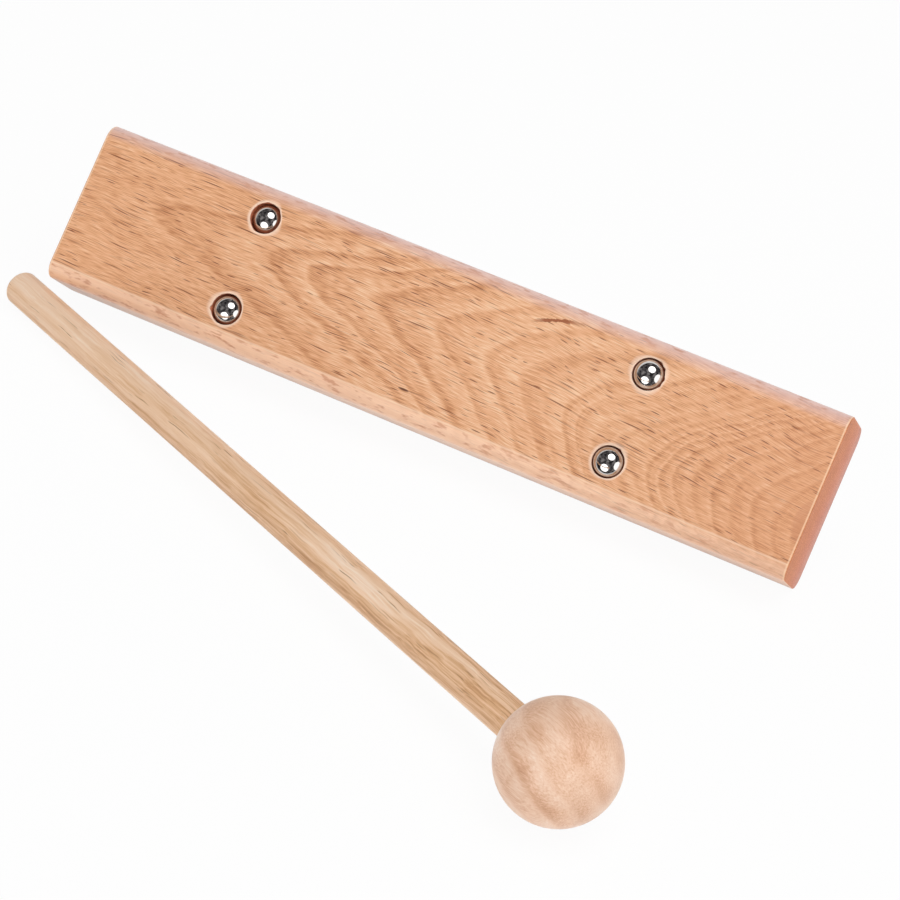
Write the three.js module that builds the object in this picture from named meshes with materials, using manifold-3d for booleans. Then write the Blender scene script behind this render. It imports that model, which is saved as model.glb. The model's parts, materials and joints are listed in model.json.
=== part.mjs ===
// Chime bar: a beech base that carries one tuned aluminium rod on two elastic cords, with its mallet.
// It lies as it does on a table when it is turned over: underside up, leaning on the rod and on one
// long edge, with the mallet in front of it. Millimetres, +Z up, origin at the bottom centre.
import * as THREE from 'three';
import { mergeVertices } from 'three/addons/utils/BufferGeometryUtils.js';
import Module from 'manifold-3d';

const wasm = await Module();
wasm.setup();

// Base block, as it stands in use: length along X, width along Y, underside at Z = 0
const baseLength = 203;
const baseWidth = 42;
const baseThickness = 22;
const baseRoundover = 4;

// Tuned rod, a free bar that is held at its two nodes
const rodLength = 190;
const rodDiameter = 16;
const rodChamfer = 0.8;
const nodeShare = 0.2242;

// Rubber saddles under the rod's nodes
const rodStandoff = 2;
const saddleAlong = 9;
const saddleLip = 1.4;
const saddleShoulder = 2;
const saddleClearance = 0.3;

// Elastic cords, each through the rod and down two holes of the base
const cordDiameter = 2.4;
const cordPlayInBase = 0.4;
const cordPlayInRod = 0.6;
const cordStandoff = 1.5;
const cordBend = 2.6;

// Steel balls that jam the cords' ends in the wide ends of those holes, each proud of the underside
const ballDiameter = 7.8;
const ballPlay = 0.1;
const ballHoleSpread = 24;
const ballClearance = 0.3;
const ballRises = [1.1, 1.7, 2.4, 2.5];

// Holes are drilled by hand and sit a little off their marks, in shares of the ball hole
const holeDriftShares = [
  [-0.08, 0.1],
  [-0.04, 0.02],
  [0.01, 0],
  [-0.06, 0.12],
];

// Mallet: a dowel glued into a turned ball
const headDiameter = 28;
const handleDiameter = 9;
const handleDome = 1.6;
const malletLength = 231;
const socketDepth = 15;
const socketClearance = 0.25;

// Mallet's place on the table: its tip sticks out past the base's left end, and its dowel points away
// from the base, tucked a little under the base's overhanging edge where it passes that end
const tipOverhang = 8.1;
const handleTuck = 0.9;
const malletHeading = THREE.MathUtils.degToRad(-25.85);

// Fineness of the round surfaces
const roundoverSteps = 8;
const rodSides = 48;
const holeSides = 28;
const ballSides = 20;
const ballRings = 12;
const saddleSteps = 10;
const cordSides = 8;
const cordSteps = 48;
const handleSides = 32;
const domeSteps = 4;
const headSides = 40;
const headRings = 22;

// One overrun carries every cut through the face where it starts
const cutOverrun = 1;

const quarterTurn = Math.PI / 2;

function makeFinish(colour, roughness, metalness) {
  return new THREE.MeshStandardMaterial({ color: colour, roughness, metalness });
}

const finishes = {
  beech: makeFinish('#dda279', 0.5, 0),
  dowel: makeFinish('#d2ab7c', 0.6, 0),
  head: makeFinish('#dcb48c', 0.55, 0),
  aluminium: makeFinish('#c9cccf', 0.25, 1),
  steel: makeFinish('#b9bbbd', 0.08, 1),
  cord: makeFinish('#1c1b1d', 0.8, 0),
  rubber: makeFinish('#232325', 0.7, 0),
};

function named(name, geometry, finish) {
  const mesh = new THREE.Mesh(geometry, finish);
  mesh.name = name;
  return mesh;
}

// A closed mesh as a solid that can be cut
function toSolid(geometry) {
  const bare = geometry.clone();
  bare.deleteAttribute('normal');
  bare.deleteAttribute('uv');
  const merged = mergeVertices(bare);
  return new wasm.Manifold(
    new wasm.Mesh({
      numProp: 3,
      vertProperties: new Float32Array(merged.attributes.position.array),
      triVerts: new Uint32Array(merged.index.array),
    }),
  );
}

// A cut solid as a mesh again
function toGeometry(solid) {
  const mesh = solid.getMesh();
  const geometry = new THREE.BufferGeometry();
  geometry.setAttribute('position', new THREE.BufferAttribute(mesh.vertProperties, 3));
  geometry.setIndex(new THREE.BufferAttribute(mesh.triVerts, 1));
  geometry.computeVertexNormals();
  return geometry;
}

function cutAll(geometry, cutters) {
  return toGeometry(cutters.reduce((solid, cutter) => solid.subtract(toSolid(cutter)), toSolid(geometry)));
}

// A section drawn in Y and Z, run along X and centred on it
function runAlongX(section, length, steps) {
  const geometry = new THREE.ExtrudeGeometry(section, {
    depth: length,
    bevelEnabled: false,
    curveSegments: steps,
  });
  geometry.translate(0, 0, -length / 2);
  return geometry.applyMatrix4(
    new THREE.Matrix4().makeBasis(
      new THREE.Vector3(0, 1, 0),
      new THREE.Vector3(0, 0, 1),
      new THREE.Vector3(1, 0, 0),
    ),
  );
}

// A turned body whose profile holds radii and places along the X axis
function turnAboutX(profile, sides) {
  return new THREE.LatheGeometry(profile, sides).rotateZ(-quarterTurn);
}

// An upright round cutter between two heights
function drill(x, y, diameter, low, high) {
  const cutter = new THREE.CylinderGeometry(diameter / 2, diameter / 2, high - low, holeSides);
  return cutter.rotateX(quarterTurn).translate(x, y, (low + high) / 2);
}

// Places that the rod, its saddles, the cords and the base's holes share
const rodRadius = rodDiameter / 2;
const rodBore = cordDiameter + 2 * cordPlayInRod;
const cordHole = cordDiameter + 2 * cordPlayInBase;
const ballRadius = ballDiameter / 2;
const ballHole = ballDiameter + 2 * ballPlay;
const rodHeight = baseThickness + rodStandoff + rodRadius;
const nodePlace = rodLength / 2 - rodLength * nodeShare;
const sides = [
  { name: 'left', x: -nodePlace },
  { name: 'right', x: nodePlace },
];
const holes = holeDriftShares.map(([driftX, driftY], index) => {
  const side = sides[Math.floor(index / 2)];
  const across = index % 2 === 0 ? -ballHoleSpread / 2 : ballHoleSpread / 2;
  const x = side.x + driftX * ballHole;
  const y = across - driftY * ballHole;
  const ballHeight = ballRadius - ballRises[index];
  return { side: side.name, x, y, ballHeight, cordEnd: ballHeight + ballRadius + ballClearance };
});

// Base: a board with its four long edges rounded and its ends cut square
function makeBase() {
  const reach = baseWidth / 2 - baseRoundover;
  const low = baseRoundover;
  const high = baseThickness - baseRoundover;
  const section = new THREE.Shape();
  section.absarc(reach, low, baseRoundover, -quarterTurn, 0);
  section.absarc(reach, high, baseRoundover, 0, quarterTurn);
  section.absarc(-reach, high, baseRoundover, quarterTurn, Math.PI);
  section.absarc(-reach, low, baseRoundover, Math.PI, Math.PI + quarterTurn);
  const board = runAlongX(section, baseLength, roundoverSteps);
  const cutters = holes.flatMap(({ x, y, cordEnd }) => [
    drill(x, y, ballHole, -cutOverrun, cordEnd + cordDiameter / 2),
    drill(x, y, cordHole, 0, baseThickness + cutOverrun),
  ]);
  return named('base_block', cutAll(board, cutters), finishes.beech);
}

// Rod: a chamfered round bar, drilled across at both nodes
function makeRod() {
  const half = rodLength / 2;
  const profile = [
    new THREE.Vector2(0, -half),
    new THREE.Vector2(rodRadius - rodChamfer, -half),
    new THREE.Vector2(rodRadius, rodChamfer - half),
    new THREE.Vector2(rodRadius, half - rodChamfer),
    new THREE.Vector2(rodRadius - rodChamfer, half),
    new THREE.Vector2(0, half),
  ];
  const bores = sides.map(({ x }) => {
    const bore = new THREE.CylinderGeometry(
      rodBore / 2,
      rodBore / 2,
      rodDiameter + 2 * cutOverrun,
      holeSides,
    );
    return bore.translate(x, 0, 0);
  });
  const rod = named('chime_rod', cutAll(turnAboutX(profile, rodSides), bores), finishes.aluminium);
  rod.position.z = rodHeight;
  return rod;
}

// Saddle: a rubber block with a trough that the rod lies in
function makeSaddle({ name, x }) {
  const trough = rodRadius + saddleClearance;
  const axis = rodHeight - baseThickness;
  const height = rodStandoff + saddleLip;
  const edge = Math.acos((axis - height) / trough);
  const half = trough * Math.sin(edge) + saddleShoulder;
  const section = new THREE.Shape();
  section.moveTo(-half, 0);
  section.lineTo(half, 0);
  section.lineTo(half, height);
  section.absarc(0, axis, trough, edge - quarterTurn, -edge - quarterTurn, true);
  section.lineTo(-half, height);
  section.closePath();
  const saddle = named(`saddle_${name}`, runAlongX(section, saddleAlong, saddleSteps), finishes.rubber);
  saddle.position.set(x, 0, baseThickness);
  return saddle;
}

// Cord: up one hole of the base, through the rod and down the other hole
function makeCord({ name, x }) {
  const ends = holes.filter((hole) => hole.side === name);
  const [near, far] = ends.map((hole) => {
    const away = Math.sign(hole.y);
    const turn = rodRadius + cordStandoff;
    return {
      end: new THREE.Vector3(hole.x, hole.y, hole.cordEnd),
      mouth: new THREE.Vector3(hole.x, hole.y, baseThickness),
      shoulder: new THREE.Vector3(x, away * turn, rodHeight),
      inRod: new THREE.Vector3(x, away * (turn - cordBend), rodHeight),
    };
  });
  const bendEnd = (leg) => leg.shoulder.clone().lerp(leg.mouth, cordBend / leg.shoulder.distanceTo(leg.mouth));
  const path = new THREE.CurvePath();
  path.add(new THREE.LineCurve3(near.end, near.mouth));
  path.add(new THREE.LineCurve3(near.mouth, bendEnd(near)));
  path.add(new THREE.QuadraticBezierCurve3(bendEnd(near), near.shoulder, near.inRod));
  path.add(new THREE.LineCurve3(near.inRod, far.inRod));
  path.add(new THREE.QuadraticBezierCurve3(far.inRod, far.shoulder, bendEnd(far)));
  path.add(new THREE.LineCurve3(bendEnd(far), far.mouth));
  path.add(new THREE.LineCurve3(far.mouth, far.end));
  const round = new THREE.Shape();
  round.absarc(0, 0, cordDiameter / 2, 0, 2 * Math.PI);
  const cord = new THREE.ExtrudeGeometry(round, {
    steps: cordSteps,
    curveSegments: cordSides / 2,
    extrudePath: path,
  });
  return named(`cord_${name}`, cord, finishes.cord);
}

// Lock ball: a polished steel ball pressed into the wide end of a hole
function makeBall({ x, y, ballHeight }, index) {
  const ball = new THREE.SphereGeometry(ballRadius, ballSides, ballRings);
  const mesh = named(`lock_ball_${index + 1}`, ball, finishes.steel);
  mesh.position.set(x, y, ballHeight);
  return mesh;
}

// Handle: a dowel with a domed tip at X = 0, running along X into the ball
function makeHandle() {
  const radius = handleDiameter / 2;
  const reach = malletLength - headDiameter + socketDepth;
  const dome = Array.from({ length: domeSteps + 1 }, (_, step) => {
    const turn = (quarterTurn * step) / domeSteps;
    const out = radius - handleDome + handleDome * Math.sin(turn);
    return new THREE.Vector2(out, handleDome - handleDome * Math.cos(turn));
  });
  const profile = [new THREE.Vector2(0, 0), ...dome, new THREE.Vector2(radius, reach), new THREE.Vector2(0, reach)];
  return named('mallet_handle', turnAboutX(profile, handleSides), finishes.dowel);
}

// Head: a turned ball with a blind socket for the dowel
function makeHead() {
  const radius = headDiameter / 2;
  const socket = handleDiameter / 2 + socketClearance;
  const mouthTurn = Math.asin(socket / radius);
  const floor = socketDepth + socketClearance - radius;
  const skin = Array.from({ length: headRings + 1 }, (_, ring) => {
    const turn = mouthTurn + ((Math.PI - mouthTurn) * ring) / headRings;
    const out = ring === headRings ? 0 : radius * Math.sin(turn);
    return new THREE.Vector2(out, -radius * Math.cos(turn));
  });
  const profile = [new THREE.Vector2(0, floor), new THREE.Vector2(socket, floor), ...skin];
  const head = named('mallet_head', turnAboutX(profile, headSides), finishes.head);
  head.position.x = malletLength - radius;
  return head;
}

// The floor touches the rod and the rounded long edge beside it, which gives the base's lean
function findLean() {
  const across = baseWidth / 2 - baseRoundover;
  const rise = rodHeight - baseThickness + baseRoundover;
  const step = Math.hypot(across, rise);
  return Math.acos((baseRoundover - rodRadius) / step) - Math.atan2(across, rise);
}

function layBaseDown() {
  const lean = findLean();
  const bar = new THREE.Group();
  bar.add(makeBase(), makeRod(), ...sides.map(makeSaddle), ...sides.map(makeCord), ...holes.map(makeBall));
  bar.rotation.x = lean - Math.PI;
  bar.position.z = rodHeight * Math.cos(lean) + rodRadius;
  return bar;
}

// The mallet lies on its ball and on the tip of its dowel
function layMalletDown() {
  const rise = (headDiameter - handleDiameter) / 2;
  const reach = malletLength - headDiameter / 2;
  const slope = Math.asin(rise / (reach - handleDome));
  const lean = findLean();
  const across = (baseWidth / 2 - baseRoundover) * Math.cos(lean);
  const nearEdge = across + baseRoundover * (1 - Math.sin(lean));
  const passing = nearEdge + handleDiameter / 2 - handleTuck;
  const mallet = new THREE.Group();
  mallet.add(makeHandle(), makeHead());
  mallet.rotation.set(0, -slope, malletHeading, 'ZYX');
  mallet.position.set(
    -baseLength / 2 - tipOverhang,
    -passing - tipOverhang * Math.tan(malletHeading),
    headDiameter / 2 - reach * Math.sin(slope),
  );
  return mallet;
}

// The set stands with its origin at the bottom centre of its box
const chimeBar = new THREE.Group();
chimeBar.add(layBaseDown(), layMalletDown());
const box = new THREE.Box3().setFromObject(chimeBar, true);
const centre = box.getCenter(new THREE.Vector3());
chimeBar.position.set(-centre.x, -centre.y, -box.min.z);

export default chimeBar;
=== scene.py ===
import json
import math
from functools import partial

import bmesh
import bpy
import numpy as np
from mathutils import Matrix, Vector


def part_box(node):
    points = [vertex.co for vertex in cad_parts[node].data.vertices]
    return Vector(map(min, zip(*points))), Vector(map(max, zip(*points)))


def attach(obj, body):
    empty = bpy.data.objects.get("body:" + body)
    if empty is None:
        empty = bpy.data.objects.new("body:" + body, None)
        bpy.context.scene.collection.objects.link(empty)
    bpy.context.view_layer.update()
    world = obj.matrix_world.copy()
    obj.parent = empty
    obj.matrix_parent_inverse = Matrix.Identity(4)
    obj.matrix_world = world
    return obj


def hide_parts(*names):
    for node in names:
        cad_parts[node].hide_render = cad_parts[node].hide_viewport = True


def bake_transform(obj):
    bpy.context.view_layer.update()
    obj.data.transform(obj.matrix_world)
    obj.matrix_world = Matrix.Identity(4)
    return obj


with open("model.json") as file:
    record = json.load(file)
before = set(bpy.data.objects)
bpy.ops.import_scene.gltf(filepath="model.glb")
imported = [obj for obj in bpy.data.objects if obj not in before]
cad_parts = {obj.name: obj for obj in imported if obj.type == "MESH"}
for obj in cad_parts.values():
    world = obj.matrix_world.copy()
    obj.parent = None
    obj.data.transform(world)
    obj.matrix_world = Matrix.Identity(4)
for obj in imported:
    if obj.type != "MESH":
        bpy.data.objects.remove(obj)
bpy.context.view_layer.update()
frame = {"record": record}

# Lengths are in metres, and MM writes one in millimetres. Points closer than the merge's reach are one
MM = 0.001
MERGE_REACH = 0.0005 * MM

# Base: a beech board with rounded long edges and square-cut ends
BASE_WIDTH = 42 * MM
BASE_THICKNESS = 22 * MM
BASE_ROUNDOVER = 4 * MM
BASE_ARRIS = 0.3 * MM
BALL_HOLE = 8 * MM
CORD_HOLE = 3.2 * MM
RIM_BREAK = 0.12 * MM
HOLE_WINDOW = 5 * MM
END_GAP = 0.6 * MM
SKIN_STEP = 0.5 * MM
STEP_BREAK = 0.05 * MM

# Chips in the rims of the four holes: angle from the board's length, reach and half width in degrees
RIM_CHIPS = (
    ((-55, 0.22 * MM, 16), (-104, 0.18 * MM, 12), (110, 0.2 * MM, 14), (180, 0.15 * MM, 30)),
    ((163, 0.7 * MM, 11), (40, 0.08 * MM, 20)),
    ((-64, 0.3 * MM, 16), (-39, 0.38 * MM, 9), (-2, 0.34 * MM, 9), (25, 0.3 * MM, 8)),
    ((-68, 0.3 * MM, 10), (120, 0.08 * MM, 18)),
)
CHIP_DEPTH = 0.5 * MM

# Rows of points from an end's border to its middle, and from a hole's rim to the border of its window
FACE_ROWS = 15
RIM_ROWS = 6

# Rod: a tuned aluminium bar, bored across at its two nodes
ROD_DIAMETER = 16 * MM
ROD_CHAMFER = 0.8 * MM
ROD_BORE = 3.6 * MM
ROD_BORE_BREAK = 0.25 * MM
ROD_BORE_NICK = 0.07 * MM
ROD_WINDOW = 3 * MM
ROD_END_GAP = 1.2 * MM
ROD_ROWS = 380
ROD_STANDOFF = 2 * MM

# Cords: braided elastic, up one hole, through the rod and down the other
CORD_DIAMETER = 2.4 * MM
CORD_STANDOFF = 1.5 * MM
CORD_BEND = 2.6 * MM
BALL_CLEARANCE = 0.3 * MM
CORD_STEP = 0.16 * MM
CORD_SIDES = 40
CORD_SMOOTHING = 4
BRAID_THREADS = 5
BRAID_PITCH = 3.2 * MM
BRAID_SWELL = 0.045

# Saddles: rubber blocks with a trough for the rod
SADDLE_ALONG = 9 * MM
SADDLE_LIP = 1.4 * MM
SADDLE_SHOULDER = 2 * MM
SADDLE_CLEARANCE = 0.3 * MM
SADDLE_ROUND = 0.45 * MM

# Steel balls
BALL_DIAMETER = 7.8 * MM
BALL_SIDES = 96

# Mallet: a dowel glued into a turned ball, with its place on the table
HEAD_DIAMETER = 28 * MM
HEAD_SIDES = 144
HANDLE_DIAMETER = 9 * MM
HANDLE_DOME = 1.6 * MM
HANDLE_WAVER = 0.004
HANDLE_ROWS = 220
HANDLE_SIDES = 96
MALLET_LENGTH = 231 * MM
SOCKET_DEPTH = 15 * MM
SOCKET_CLEARANCE = 0.25 * MM
SOCKET_LIP = 0.12 * MM
TIP_OVERHANG = 8.1 * MM
HANDLE_TUCK = 0.9 * MM
MALLET_HEADING = math.radians(-25.85)

# The photograph's view, from the point of the table under the middle of the underside
CAMERA_OFFSET = Vector((219.64, -567.32, 417.28)) * MM
CAMERA_AZIMUTH = math.radians(20.332)
CAMERA_ELEVATION = math.radians(34.577)
CAMERA_ROLL = math.radians(10.669)
CAMERA_LENS = 118.82
CAMERA_SENSOR = 36

# The dark studio that the steel mirrors: how far it is, how many degrees it spreads, and its middle in the
# base's own frame
ROOM_REACH = 5
ROOM_SPREAD = 98
ROOM_WAY = np.array((0.22, 0.12, -1))

# The table: each part's size, the place along Y where they meet, and how much of its white is a glow
TABLE_SIZE = (16, 8)
TABLE_SPLIT = 0.02
TABLE_GLOW = 0.95

# Softboxes: the way to each from the object's middle, distance, size and radiance; and the room's own light
SOFTBOXES = (
    ("softbox_above", (0.25, -0.11, 0.96), 1.0, 0.86, 2.95),
    ("softbox_front_left", (-0.06, -0.97, -0.20), 1.1, 1.15, 2.6),
    ("softbox_right", (0.98, -0.12, 0.09), 1.1, 1.0, 1.6),
)
ROOM_LIGHT = 0.36

# The base's own frame, from the mount on its underside: X along, Y across, Z from the underside inwards
mount = frame["record"]["mounts"][0]
UNDERSIDE = np.array(mount["pos_m"])
OUTWARDS = np.array(mount["axis"])
BASE_AXES = np.array([(1, 0, 0), np.cross((1, 0, 0), OUTWARDS), -OUTWARDS])
BASE_TURN = math.atan2(BASE_AXES[1][2], BASE_AXES[1][1])
base_low, base_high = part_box("base_block")
BASE_LENGTH = base_high[0] - base_low[0]
rod_low, rod_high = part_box("chime_rod")
ROD_LENGTH = rod_high[0] - rod_low[0]
ROD_HEIGHT = BASE_THICKNESS + ROD_STANDOFF + ROD_DIAMETER / 2

# The mallet's own frame: X from the dowel's tip to the ball
LEAN = math.acos(OUTWARDS[2])
FLAT_HALF = BASE_WIDTH / 2 - BASE_ROUNDOVER
NEAR_EDGE = FLAT_HALF * math.cos(LEAN) + BASE_ROUNDOVER * (1 - math.sin(LEAN))
HEAD_PLACE = MALLET_LENGTH - HEAD_DIAMETER / 2
MALLET_SLOPE = math.asin((HEAD_DIAMETER - HANDLE_DIAMETER) / 2 / (HEAD_PLACE - HANDLE_DOME))
MALLET_TIP = np.array((
    UNDERSIDE[0] - BASE_LENGTH / 2 - TIP_OVERHANG,
    UNDERSIDE[1] - NEAR_EDGE - HANDLE_DIAMETER / 2 + HANDLE_TUCK - TIP_OVERHANG * math.tan(MALLET_HEADING),
    HEAD_DIAMETER / 2 - HEAD_PLACE * math.sin(MALLET_SLOPE),
))
MALLET_TURN = (0, -MALLET_SLOPE, MALLET_HEADING)
MALLET_AXES = np.array(
    (Matrix.Rotation(MALLET_HEADING, 3, "Z") @ Matrix.Rotation(-MALLET_SLOPE, 3, "Y")).transposed()
)


def to_base_frame(point):
    """Where a point of the row lies in the base's own frame."""
    return BASE_AXES @ (np.array(point) - UNDERSIDE)


def place(points, origin, axes):
    """Points of a local frame in the row frame: the origin plus each coordinate times its axis."""
    return origin + points @ axes


# Surfaces


def grid(points, wrap=False):
    """A sheet of quads through rows and columns of points; wrap joins the last column to the first."""
    rows, columns = points.shape[:2]
    index = np.arange(rows * columns).reshape(rows, columns)
    if wrap:
        index = np.hstack([index, index[:, :1]])
    quads = np.stack([index[:-1, :-1], index[:-1, 1:], index[1:, 1:], index[1:, :-1]], axis=-1)
    return points.reshape(-1, 3), quads.reshape(-1, 4)


def new_object(name, points, faces, material):
    """An object at the origin with its mesh and material, in the scene."""
    mesh = bpy.data.meshes.new(name)
    mesh.from_pydata(points, [], faces)
    mesh.materials.append(material)
    made = bpy.data.objects.new(name, mesh)
    bpy.context.scene.collection.objects.link(made)
    return made


def make_piece(name, sheets, material, body, slot, *nodes):
    """One closed object from sheets that share their borders: doubles are merged and faces turned outwards.
    It stands for the nodes, and rides on its body if it has one."""
    points = np.concatenate([sheet[0] for sheet in sheets])
    starts = np.cumsum([0] + [len(sheet[0]) for sheet in sheets[:-1]])
    quads = np.concatenate([sheet[1] + start for sheet, start in zip(sheets, starts)])
    piece = new_object(name, points.tolist(), quads.tolist(), material)
    mesh = piece.data
    shape = bmesh.new()
    shape.from_mesh(mesh)
    bmesh.ops.remove_doubles(shape, verts=shape.verts, dist=MERGE_REACH)
    bmesh.ops.recalc_face_normals(shape, faces=shape.faces)
    shape.to_mesh(mesh)
    shape.free()
    mesh.polygons.foreach_set("use_smooth", np.ones(len(mesh.polygons), dtype=bool))
    if body:
        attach(piece, body)
    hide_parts(*nodes)
    return piece


def arc(centre, radius, start, end, steps):
    """Points of an arc in a section plane, with the outward normal at each."""
    turn = np.radians(np.linspace(start, end, steps + 1))
    normal = np.stack([np.cos(turn), np.sin(turn)], axis=-1)
    return np.array(centre) + radius * normal, normal


def line(start, end, steps):
    """Points between two corners of a section, both ends left out, with their outward normal."""
    share = np.linspace(0, 1, steps + 1)[1:-1, None]
    start, end = np.array(start), np.array(end)
    run = (end - start) / np.linalg.norm(end - start)
    normal = np.broadcast_to((run[1], -run[0]), (steps - 1, 2))
    return start + share * (end - start), normal


def parabola(start, corner, end, share):
    """Points of a parabola that leaves its start and reaches its end along the lines to a corner."""
    return (1 - share) ** 2 * start + 2 * share * (1 - share) * corner + share ** 2 * end


def board_section(width, thickness, radius, step):
    """A board's outline in Y and Z, anticlockwise from one narrow side: straight sides and quarter arcs."""
    reach = width / 2 - radius
    low, high = radius, thickness - radius
    across, up = round(2 * reach / step), round((high - low) / step)
    runs = [
        line((-reach - radius, high), (-reach - radius, low), up),
        arc((-reach, low), radius, 180, 270, 16),
        line((-reach, 0), (reach, 0), across),
        arc((reach, low), radius, -90, 0, 16),
        line((reach + radius, low), (reach + radius, high), up),
        arc((reach, high), radius, 0, 90, 16),
        line((reach, thickness), (-reach, thickness), across),
        arc((-reach, high), radius, 90, 180, 16),
    ]
    return np.concatenate([run[0] for run in runs]), np.concatenate([run[1] for run in runs])


def softened_section(corners, reach, steps):
    """An outline whose corners are each rounded by a parabola that starts and ends at reach from it."""
    corners = np.array(corners)
    before = np.roll(corners, 1, axis=0) - corners
    after = np.roll(corners, -1, axis=0) - corners
    lengths = [np.linalg.norm(side, axis=1, keepdims=True) for side in (before, after)]
    start = corners + before * np.minimum(reach / lengths[0], 0.5)
    end = corners + after * np.minimum(reach / lengths[1], 0.5)
    share = np.linspace(0, 1, steps + 1)[None, :, None]
    points = parabola(start[:, None], corners[:, None], end[:, None], share).reshape(-1, 2)
    points = points[np.linalg.norm(np.roll(points, -1, axis=0) - points, axis=1) > 0.001 * MM]
    run = np.roll(points, -1, axis=0) - np.roll(points, 1, axis=0)
    run /= np.linalg.norm(run, axis=1, keepdims=True)
    return points, np.stack([run[:, 1], -run[:, 0]], axis=-1)


def bar(section, normals, stations, half, arris, centre, holes=(), skins=None, window=HOLE_WINDOW):
    """A bar along X: the section at every station, its ends rounded over by the arris and closed to the
    centre. A hole leaves out a window of the skin on both faces. Its own sheet runs from the lower window
    over the rows of its profile to the upper one: the place is the hole's centre plus radius times the
    direction of the window's border point, and the height is counted in from the skin."""
    turn = np.radians((0, 30, 60, 90))[:, None]
    edge = arris * (1 - np.cos(turn))[:, :, None]
    rounded = section[None] - edge * normals[None]
    ends = half - arris + arris * np.sin(turn)
    shares = np.linspace(1, 0, FACE_ROWS)[1:, None, None]
    face = centre + shares * (rounded[-1][None] - centre)
    straight = np.repeat(section[None], len(stations), axis=0)
    sections = np.concatenate([face[::-1], rounded[::-1], straight, rounded, face])
    face_x = np.full((len(face), len(section)), half)
    end_x = np.repeat(ends, len(section), axis=1)
    middle_x = np.repeat(stations[:, None], len(section), axis=1)
    along = np.concatenate([-face_x, -end_x[::-1], middle_x, end_x, face_x])
    points = np.concatenate([along[..., None], sections], axis=-1)
    sheet = grid(points, wrap=True)
    keep = np.ones((points.shape[0] - 1, points.shape[1]), dtype=bool)
    first = len(face) + len(rounded)
    sheets = []
    for hole in holes:
        x, y = hole["x"], hole["y"]
        columns = first + np.flatnonzero(np.abs(stations - x) <= window)
        borders = []
        for side in (-1, 1):
            rows = np.flatnonzero((side * normals[:, 1] > 0.5) & (np.abs(section[:, 0] - y) <= window))
            rows = rows[np.argsort(section[rows, 0])]
            keep[columns[0]:columns[-1], rows.min():rows.max()] = False
            loop = [points[columns[:-1], rows[0]], points[columns[-1], rows[:-1]],
                    points[columns[:0:-1], rows[-1]], points[columns[0], rows[:0:-1]]]
            borders.append(np.concatenate(loop))
        ray = borders[0][:, :2] - (x, y)
        turn = np.arctan2(ray[:, 1], ray[:, 0])
        direction = np.stack([np.cos(turn), np.sin(turn)], axis=-1)
        rims = []
        for side, radius, depth in hole["profile"](turn):
            spot = (x, y) + np.asarray(radius).reshape(-1, 1) * direction
            rims.append(np.column_stack([spot, skins[side](spot[:, 1]) + (depth if side == 0 else -depth)]))
        spread = []
        for side, rim in ((0, rims[0]), (1, rims[-1])):
            share = np.linspace(0, 1, RIM_ROWS)[:, None, None] ** 1.5
            spot = rim[None, :, :2] + share * (borders[side][None, :, :2] - rim[None, :, :2])
            spread.append(np.concatenate([spot, skins[side](spot[..., 1])[..., None]], axis=-1))
            spread[-1][-1] = borders[side]
            spread[-1][0] = rim
        rows = np.concatenate([spread[0][::-1], np.array(rims[1:-1]), spread[1]])
        sheets.append(grid(rows, wrap=True))
    sheets.insert(0, (sheet[0], sheet[1][keep.reshape(-1)]))
    return sheets


def turned(profile, sides, wobble=None):
    """A lathe shape about X: every profile row (place, radius) swept round, with an optional waver of the
    radius."""
    turn = np.linspace(0, 2 * np.pi, sides, endpoint=False)
    along = np.repeat(profile[:, :1], sides, axis=1)
    radius = np.repeat(profile[:, 1:], sides, axis=1)
    if wobble is not None:
        radius = radius * (1 + wobble(along, turn[None, :]))
    return [grid(np.stack([along, radius * np.cos(turn), radius * np.sin(turn)], axis=-1), wrap=True)]


def put(sheets, origin, axes):
    """The same sheets in the row frame."""
    return [(place(points, origin, axes), quads) for points, quads in sheets]


# Materials


def linear(colour):
    """An sRGB hex colour as a linear one, by the standard's two-part curve."""
    parts = [int(colour[spot:spot + 2], 16) / 255 for spot in (1, 3, 5)]
    return [part / 12.92 if part <= 0.04045 else ((part + 0.055) / 1.055) ** 2.4 for part in parts] + [1]


def add(tree, kind, *feeds, named=None, ramp=None, curve=None, **settings):
    """Adds one node, whose kind may be followed by its operation. Feeds go to its inputs in order and named
    ones by name or number; a node gives its first output, and a pair gives the named output of a node. None
    leaves an input as it is."""
    kind, *operation = kind.split()
    made = tree.nodes.new("ShaderNode" + kind)
    if operation:
        made.operation = operation[0]
    for key, value in settings.items():
        setattr(made, key, value)
    for key, feed in [*enumerate(feeds), *(named or {}).items()]:
        if feed is None:
            continue
        if isinstance(feed, bpy.types.Node):
            tree.links.new(feed.outputs[0], made.inputs[key])
        elif isinstance(feed, tuple) and isinstance(feed[0], bpy.types.Node):
            tree.links.new(feed[0].outputs[feed[1]], made.inputs[key])
        else:
            made.inputs[key].default_value = feed
    if ramp:
        elements = made.color_ramp.elements
        while len(elements) < len(ramp):
            elements.new(1)
        for element, (spot, colour) in zip(elements, ramp):
            element.position = spot
            element.color = linear(colour) if isinstance(colour, str) else (colour, colour, colour, 1)
    if curve:
        curve_points = made.mapping.curves[0].points
        while len(curve_points) < len(curve):
            curve_points.new(0.5, 0.5)
        for point, spot in zip(curve_points, curve):
            point.location = spot
            point.handle_type = "VECTOR"
        made.mapping.update()
    return made


def chain(node, feed, *steps):
    """The last node of a chain. A step is a kind and its feeds past the first, which is the node before."""
    for kind, *others in steps:
        feed = node(kind, feed, *others)
    return feed


def new_material(name):
    """A material with an empty node tree, and the function that adds a node to it."""
    material = bpy.data.materials.new(name)
    material.use_nodes = True
    material.node_tree.nodes.clear()
    return material, partial(add, material.node_tree)


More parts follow.
